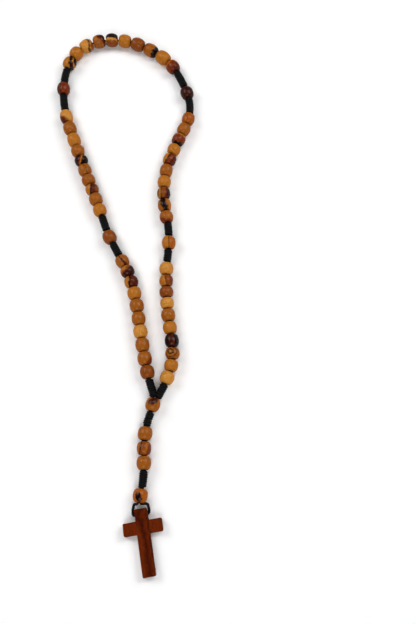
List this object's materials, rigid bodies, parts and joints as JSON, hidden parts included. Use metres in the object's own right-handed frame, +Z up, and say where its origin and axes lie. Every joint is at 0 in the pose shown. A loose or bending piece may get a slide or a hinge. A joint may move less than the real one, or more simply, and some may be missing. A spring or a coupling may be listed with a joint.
{
  "type": "rosary",
  "caption": "Wooden-bead rosary on a knotted black cord: a closed loop of beads in five groups of ten, and a short beaded pendant that carries a flat wooden cross.",
  "frame": {"origin": "on the surface the rosary lies on, under the middle of the box round its beads and cross", "axes": "+Z up from the surface, +Y from the cross to the top of the loop, +X to the right seen from above"},
  "size_m": [0.0862, 0.3296, 0.0086],
  "materials": {
    "wood_gold": "polished, lightly waxed",
    "wood_brown": "polished, lightly waxed",
    "wood_red": "polished, lightly waxed",
    "wood_dark": "polished, lightly waxed",
    "wood_cross": "oiled, satin",
    "cord": "twisted nylon, satin black"
  },
  "bodies": {
    "loop": {"junction_bead": "wood_gold", "loop_cord": "cord"},
    "upper_knot": {"upper_knot": "cord"},
    "pendant": {"pendant_cord": "cord", "pendant_beads": "wood_brown"},
    "cross": {"cross": "wood_cross"},
    "decade_1_bead_01": {"decade_1_bead_01": "wood_brown"},
    "decade_1_bead_02": {"decade_1_bead_02": "wood_brown"},
    "decade_1_bead_03": {"decade_1_bead_03": "wood_gold"},
    "decade_1_bead_04": {"decade_1_bead_04": "wood_gold"},
    "decade_1_bead_05": {"decade_1_bead_05": "wood_brown"},
    "decade_1_bead_06": {"decade_1_bead_06": "wood_brown"},
    "decade_1_bead_07": {"decade_1_bead_07": "wood_gold"},
    "decade_1_bead_08": {"decade_1_bead_08": "wood_brown"},
    "decade_1_bead_09": {"decade_1_bead_09": "wood_brown"},
    "decade_1_bead_10": {"decade_1_bead_10": "wood_brown"},
    "our_father_1": {"our_father_1": "wood_brown"},
    "decade_2_bead_01": {"decade_2_bead_01": "wood_red"},
    "decade_2_bead_02": {"decade_2_bead_02": "wood_brown"},
    "decade_2_bead_03": {"decade_2_bead_03": "wood_gold"},
    "decade_2_bead_04": {"decade_2_bead_04": "wood_brown"},
    "decade_2_bead_05": {"decade_2_bead_05": "wood_dark"},
    "decade_2_bead_06": {"decade_2_bead_06": "wood_brown"},
    "decade_2_bead_07": {"decade_2_bead_07": "wood_brown"},
    "decade_2_bead_08": {"decade_2_bead_08": "wood_gold"},
    "decade_2_bead_09": {"decade_2_bead_09": "wood_brown"},
    "decade_2_bead_10": {"decade_2_bead_10": "wood_gold"},
    "our_father_2": {"our_father_2": "wood_red"},
    "decade_3_bead_01": {"decade_3_bead_01": "wood_gold"},
    "decade_3_bead_02": {"decade_3_bead_02": "wood_gold"},
    "decade_3_bead_03": {"decade_3_bead_03": "wood_gold"},
    "decade_3_bead_04": {"decade_3_bead_04": "wood_brown"},
    "decade_3_bead_05": {"decade_3_bead_05": "wood_dark"},
    "decade_3_bead_06": {"decade_3_bead_06": "wood_gold"},
    "decade_3_bead_07": {"decade_3_bead_07": "wood_brown"},
    "decade_3_bead_08": {"decade_3_bead_08": "wood_red"},
    "decade_3_bead_09": {"decade_3_bead_09": "wood_gold"},
    "decade_3_bead_10": {"decade_3_bead_10": "wood_red"},
    "our_father_3": {"our_father_3": "wood_dark"},
    "decade_4_bead_01": {"decade_4_bead_01": "wood_red"},
    "decade_4_bead_02": {"decade_4_bead_02": "wood_brown"},
    "decade_4_bead_03": {"decade_4_bead_03": "wood_dark"},
    "decade_4_bead_04": {"decade_4_bead_04": "wood_gold"},
    "decade_4_bead_05": {"decade_4_bead_05": "wood_gold"},
    "decade_4_bead_06": {"decade_4_bead_06": "wood_red"},
    "decade_4_bead_07": {"decade_4_bead_07": "wood_gold"},
    "decade_4_bead_08": {"decade_4_bead_08": "wood_brown"},
    "decade_4_bead_09": {"decade_4_bead_09": "wood_brown"},
    "decade_4_bead_10": {"decade_4_bead_10": "wood_red"},
    "our_father_4": {"our_father_4": "wood_gold"},
    "decade_5_bead_01": {"decade_5_bead_01": "wood_gold"},
    "decade_5_bead_02": {"decade_5_bead_02": "wood_gold"},
    "decade_5_bead_03": {"decade_5_bead_03": "wood_brown"},
    "decade_5_bead_04": {"decade_5_bead_04": "wood_gold"},
    "decade_5_bead_05": {"decade_5_bead_05": "wood_brown"},
    "decade_5_bead_06": {"decade_5_bead_06": "wood_gold"},
    "decade_5_bead_07": {"decade_5_bead_07": "wood_dark"},
    "decade_5_bead_08": {"decade_5_bead_08": "wood_gold"},
    "decade_5_bead_09": {"decade_5_bead_09": "wood_gold"},
    "decade_5_bead_10": {"decade_5_bead_10": "wood_gold"}
  },
  "joints": [
    {"name": "cross_tilt", "type": "hinge", "parent": "pendant", "child": "cross", "pos_m": [0.01588, -0.13271, 0.0024], "axis": [-0.9871, -0.1599, 0], "range_deg": [0, 100]},
    {"name": "pendant_lift", "type": "hinge", "parent": "upper_knot", "child": "pendant", "pos_m": [0.01735, -0.0866, 0.004], "axis": [-0.9605, 0.2783, 0], "range_deg": [0, 35]},
    {"name": "pendant_sway", "type": "hinge", "parent": "loop", "child": "upper_knot", "pos_m": [0.01989, -0.07782, 0.004], "axis": [0, 0, 1], "range_deg": [-35, 35]},
    {"name": "spin_decade_1_bead_01", "type": "hinge", "parent": "loop", "child": "decade_1_bead_01", "pos_m": [0.01742, -0.056, 0.00405], "axis": [-0.2455, 0.9694, 0], "continuous": true},
    {"name": "spin_decade_1_bead_02", "type": "hinge", "parent": "loop", "child": "decade_1_bead_02", "pos_m": [0.01578, -0.04833, 0.00411], "axis": [-0.1844, 0.9828, 0], "continuous": true},
    {"name": "spin_decade_1_bead_03", "type": "hinge", "parent": "loop", "child": "decade_1_bead_03", "pos_m": [0.01432, -0.04041, 0.004], "axis": [-0.1779, 0.9841, 0], "continuous": true},
    {"name": "spin_decade_1_bead_04", "type": "hinge", "parent": "loop", "child": "decade_1_bead_04", "pos_m": [0.01297, -0.03263, 0.00408], "axis": [-0.1636, 0.9865, 0], "continuous": true},
    {"name": "spin_decade_1_bead_05", "type": "hinge", "parent": "loop", "child": "decade_1_bead_05", "pos_m": [0.01175, -0.02495, 0.00398], "axis": [-0.1512, 0.9885, 0], "continuous": true},
    {"name": "spin_decade_1_bead_06", "type": "hinge", "parent": "loop", "child": "decade_1_bead_06", "pos_m": [0.01049, -0.01723, 0.0041], "axis": [-0.1805, 0.9836, 0], "continuous": true},
    {"name": "spin_decade_1_bead_07", "type": "hinge", "parent": "loop", "child": "decade_1_bead_07", "pos_m": [0.00889, -0.0098, 0.00403], "axis": [-0.2394, 0.9709, 0], "continuous": true},
    {"name": "spin_decade_1_bead_08", "type": "hinge", "parent": "loop", "child": "decade_1_bead_08", "pos_m": [0.00697, -0.00287, 0.00405], "axis": [-0.3008, 0.9537, 0], "continuous": true},
    {"name": "spin_decade_1_bead_09", "type": "hinge", "parent": "loop", "child": "decade_1_bead_09", "pos_m": [0.00454, 0.00358, 0.00411], "axis": [-0.4045, 0.9146, 0], "continuous": true},
    {"name": "spin_decade_1_bead_10", "type": "hinge", "parent": "loop", "child": "decade_1_bead_10", "pos_m": [0.00137, 0.00987, 0.004], "axis": [-0.4837, 0.8752, 0], "continuous": true},
    {"name": "spin_our_father_1", "type": "hinge", "parent": "loop", "child": "our_father_1", "pos_m": [-0.00662, 0.02504, 0.00405], "axis": [-0.4075, 0.9132, 0], "continuous": true},
    {"name": "spin_decade_2_bead_01", "type": "hinge", "parent": "loop", "child": "decade_2_bead_01", "pos_m": [-0.01309, 0.04231, 0.00398], "axis": [-0.3438, 0.939, 0], "continuous": true},
    {"name": "spin_decade_2_bead_02", "type": "hinge", "parent": "loop", "child": "decade_2_bead_02", "pos_m": [-0.01571, 0.04929, 0.00405], "axis": [-0.3597, 0.9331, 0], "continuous": true},
    {"name": "spin_decade_2_bead_03", "type": "hinge", "parent": "loop", "child": "decade_2_bead_03", "pos_m": [-0.01823, 0.05577, 0.00396], "axis": [-0.3637, 0.9315, 0], "continuous": true},
    {"name": "spin_decade_2_bead_04", "type": "hinge", "parent": "loop", "child": "decade_2_bead_04", "pos_m": [-0.02063, 0.06191, 0.00407], "axis": [-0.362, 0.9322, 0], "continuous": true},
    {"name": "spin_decade_2_bead_05", "type": "hinge", "parent": "loop", "child": "decade_2_bead_05", "pos_m": [-0.02318, 0.06854, 0.004], "axis": [-0.3563, 0.9344, 0], "continuous": true},
    {"name": "spin_decade_2_bead_06", "type": "hinge", "parent": "loop", "child": "decade_2_bead_06", "pos_m": [-0.02562, 0.075, 0.00402], "axis": [-0.3506, 0.9365, 0], "continuous": true},
    {"name": "spin_decade_2_bead_07", "type": "hinge", "parent": "loop", "child": "decade_2_bead_07", "pos_m": [-0.02798, 0.08137, 0.00409], "axis": [-0.345, 0.9386, 0], "continuous": true},
    {"name": "spin_decade_2_bead_08", "type": "hinge", "parent": "loop", "child": "decade_2_bead_08", "pos_m": [-0.03073, 0.08894, 0.00398], "axis": [-0.3394, 0.9406, 0], "continuous": true},
    {"name": "spin_decade_2_bead_09", "type": "hinge", "parent": "loop", "child": "decade_2_bead_09", "pos_m": [-0.03363, 0.09698, 0.00405], "axis": [-0.3369, 0.9416, 0], "continuous": true},
    {"name": "spin_decade_2_bead_10", "type": "hinge", "parent": "loop", "child": "decade_2_bead_10", "pos_m": [-0.03623, 0.10507, 0.00396], "axis": [-0.2623, 0.965, 0], "continuous": true},
    {"name": "spin_our_father_2", "type": "hinge", "parent": "loop", "child": "our_father_2", "pos_m": [-0.03907, 0.12486, 0.00405], "axis": [-0.0104, 0.9999, 0], "continuous": true},
    {"name": "spin_decade_3_bead_01", "type": "hinge", "parent": "loop", "child": "decade_3_bead_01", "pos_m": [-0.03625, 0.14325, 0.00415], "axis": [0.3709, 0.9287, 0], "continuous": true},
    {"name": "spin_decade_3_bead_02", "type": "hinge", "parent": "loop", "child": "decade_3_bead_02", "pos_m": [-0.03232, 0.1505, 0.00428], "axis": [0.5892, 0.808, 0], "continuous": true},
    {"name": "spin_decade_3_bead_03", "type": "hinge", "parent": "loop", "child": "decade_3_bead_03", "pos_m": [-0.02612, 0.15615, 0.00421], "axis": [0.8541, 0.52, 0], "continuous": true},
    {"name": "spin_decade_3_bead_04", "type": "hinge", "parent": "loop", "child": "decade_3_bead_04", "pos_m": [-0.01832, 0.15948, 0.00422], "axis": [0.9658, 0.2593, 0], "continuous": true},
    {"name": "spin_decade_3_bead_05", "type": "hinge", "parent": "loop", "child": "decade_3_bead_05", "pos_m": [-0.01008, 0.16051, 0.00428], "axis": [1, 0.0069, 0], "continuous": true},
    {"name": "spin_decade_3_bead_06", "type": "hinge", "parent": "loop", "child": "decade_3_bead_06", "pos_m": [-0.00179, 0.15983, 0.00417], "axis": [0.9828, -0.1846, 0], "continuous": true},
    {"name": "spin_decade_3_bead_07", "type": "hinge", "parent": "loop", "child": "decade_3_bead_07", "pos_m": [0.00657, 0.1572, 0.00426], "axis": [0.9193, -0.3935, 0], "continuous": true},
    {"name": "spin_decade_3_bead_08", "type": "hinge", "parent": "loop", "child": "decade_3_bead_08", "pos_m": [0.01492, 0.15292, 0.00415], "axis": [0.8569, -0.5155, 0], "continuous": true},
    {"name": "spin_decade_3_bead_09", "type": "hinge", "parent": "loop", "child": "decade_3_bead_09", "pos_m": [0.02282, 0.14734, 0.00428], "axis": [0.7667, -0.6421, 0], "continuous": true},
    {"name": "spin_decade_3_bead_10", "type": "hinge", "parent": "loop", "child": "decade_3_bead_10", "pos_m": [0.02905, 0.14065, 0.00421], "axis": [0.5732, -0.8194, 0], "continuous": true},
    {"name": "spin_our_father_3", "type": "hinge", "parent": "loop", "child": "our_father_3", "pos_m": [0.03812, 0.1219, 0.00405], "axis": [0.3115, -0.9502, 0], "continuous": true},
    {"name": "spin_decade_4_bead_01", "type": "hinge", "parent": "loop", "child": "decade_4_bead_01", "pos_m": [0.03906, 0.10361, 0.00396], "axis": [-0.2431, -0.97, 0], "continuous": true},
    {"name": "spin_decade_4_bead_02", "type": "hinge", "parent": "loop", "child": "decade_4_bead_02", "pos_m": [0.03639, 0.09639, 0.00398], "axis": [-0.4124, -0.911, 0], "continuous": true},
    {"name": "spin_decade_4_bead_03", "type": "hinge", "parent": "loop", "child": "decade_4_bead_03", "pos_m": [0.03324, 0.08931, 0.00404], "axis": [-0.3946, -0.9189, 0], "continuous": true},
    {"name": "spin_decade_4_bead_04", "type": "hinge", "parent": "loop", "child": "decade_4_bead_04", "pos_m": [0.03042, 0.08247, 0.00392], "axis": [-0.3675, -0.93, 0], "continuous": true},
    {"name": "spin_decade_4_bead_05", "type": "hinge", "parent": "loop", "child": "decade_4_bead_05", "pos_m": [0.02791, 0.07567, 0.004], "axis": [-0.3129, -0.9498, 0], "continuous": true},
    {"name": "spin_decade_4_bead_06", "type": "hinge", "parent": "loop", "child": "decade_4_bead_06", "pos_m": [0.026, 0.06833, 0.00391], "axis": [-0.193, -0.9812, 0], "continuous": true},
    {"name": "spin_decade_4_bead_07", "type": "hinge", "parent": "loop", "child": "decade_4_bead_07", "pos_m": [0.02492, 0.06071, 0.00402], "axis": [-0.084, -0.9965, 0], "continuous": true},
    {"name": "spin_decade_4_bead_08", "type": "hinge", "parent": "loop", "child": "decade_4_bead_08", "pos_m": [0.02474, 0.05317, 0.00396], "axis": [0.031, -0.9995, 0], "continuous": true},
    {"name": "spin_decade_4_bead_09", "type": "hinge", "parent": "loop", "child": "decade_4_bead_09", "pos_m": [0.02534, 0.04545, 0.00398], "axis": [0.1244, -0.9922, 0], "continuous": true},
    {"name": "spin_decade_4_bead_10", "type": "hinge", "parent": "loop", "child": "decade_4_bead_10", "pos_m": [0.02663, 0.03787, 0.00404], "axis": [0.1984, -0.9801, 0], "continuous": true},
    {"name": "spin_our_father_4", "type": "hinge", "parent": "loop", "child": "our_father_4", "pos_m": [0.02819, 0.02148, 0.00405], "axis": [-0.0113, -0.9999, 0], "continuous": true},
    {"name": "spin_decade_5_bead_01", "type": "hinge", "parent": "loop", "child": "decade_5_bead_01", "pos_m": [0.02709, 0.00523, 0.00409], "axis": [-0.0418, -0.9991, 0], "continuous": true},
    {"name": "spin_decade_5_bead_02", "type": "hinge", "parent": "loop", "child": "decade_5_bead_02", "pos_m": [0.02706, -0.00217, 0.00398], "axis": [0.0255, -0.9997, 0], "continuous": true},
    {"name": "spin_decade_5_bead_03", "type": "hinge", "parent": "loop", "child": "decade_5_bead_03", "pos_m": [0.02733, -0.00906, 0.00405], "axis": [0.0565, -0.9984, 0], "continuous": true},
    {"name": "spin_decade_5_bead_04", "type": "hinge", "parent": "loop", "child": "decade_5_bead_04", "pos_m": [0.02782, -0.01574, 0.00396], "axis": [0.0874, -0.9962, 0], "continuous": true},
    {"name": "spin_decade_5_bead_05", "type": "hinge", "parent": "loop", "child": "decade_5_bead_05", "pos_m": [0.02857, -0.02291, 0.00407], "axis": [0.1214, -0.9926, 0], "continuous": true},
    {"name": "spin_decade_5_bead_06", "type": "hinge", "parent": "loop", "child": "decade_5_bead_06", "pos_m": [0.02963, -0.03033, 0.004], "axis": [0.1622, -0.9868, 0], "continuous": true},
    {"name": "spin_decade_5_bead_07", "type": "hinge", "parent": "loop", "child": "decade_5_bead_07", "pos_m": [0.0308, -0.03789, 0.00402], "axis": [0.1237, -0.9923, 0], "continuous": true},
    {"name": "spin_decade_5_bead_08", "type": "hinge", "parent": "loop", "child": "decade_5_bead_08", "pos_m": [0.0313, -0.04531, 0.00409], "axis": [0.0062, -1, 0], "continuous": true},
    {"name": "spin_decade_5_bead_09", "type": "hinge", "parent": "loop", "child": "decade_5_bead_09", "pos_m": [0.03065, -0.05225, 0.00398], "axis": [-0.2078, -0.9782, 0], "continuous": true},
    {"name": "spin_decade_5_bead_10", "type": "hinge", "parent": "loop", "child": "decade_5_bead_10", "pos_m": [0.02852, -0.05915, 0.00405], "axis": [-0.3645, -0.9312, 0], "continuous": true}
  ]
}
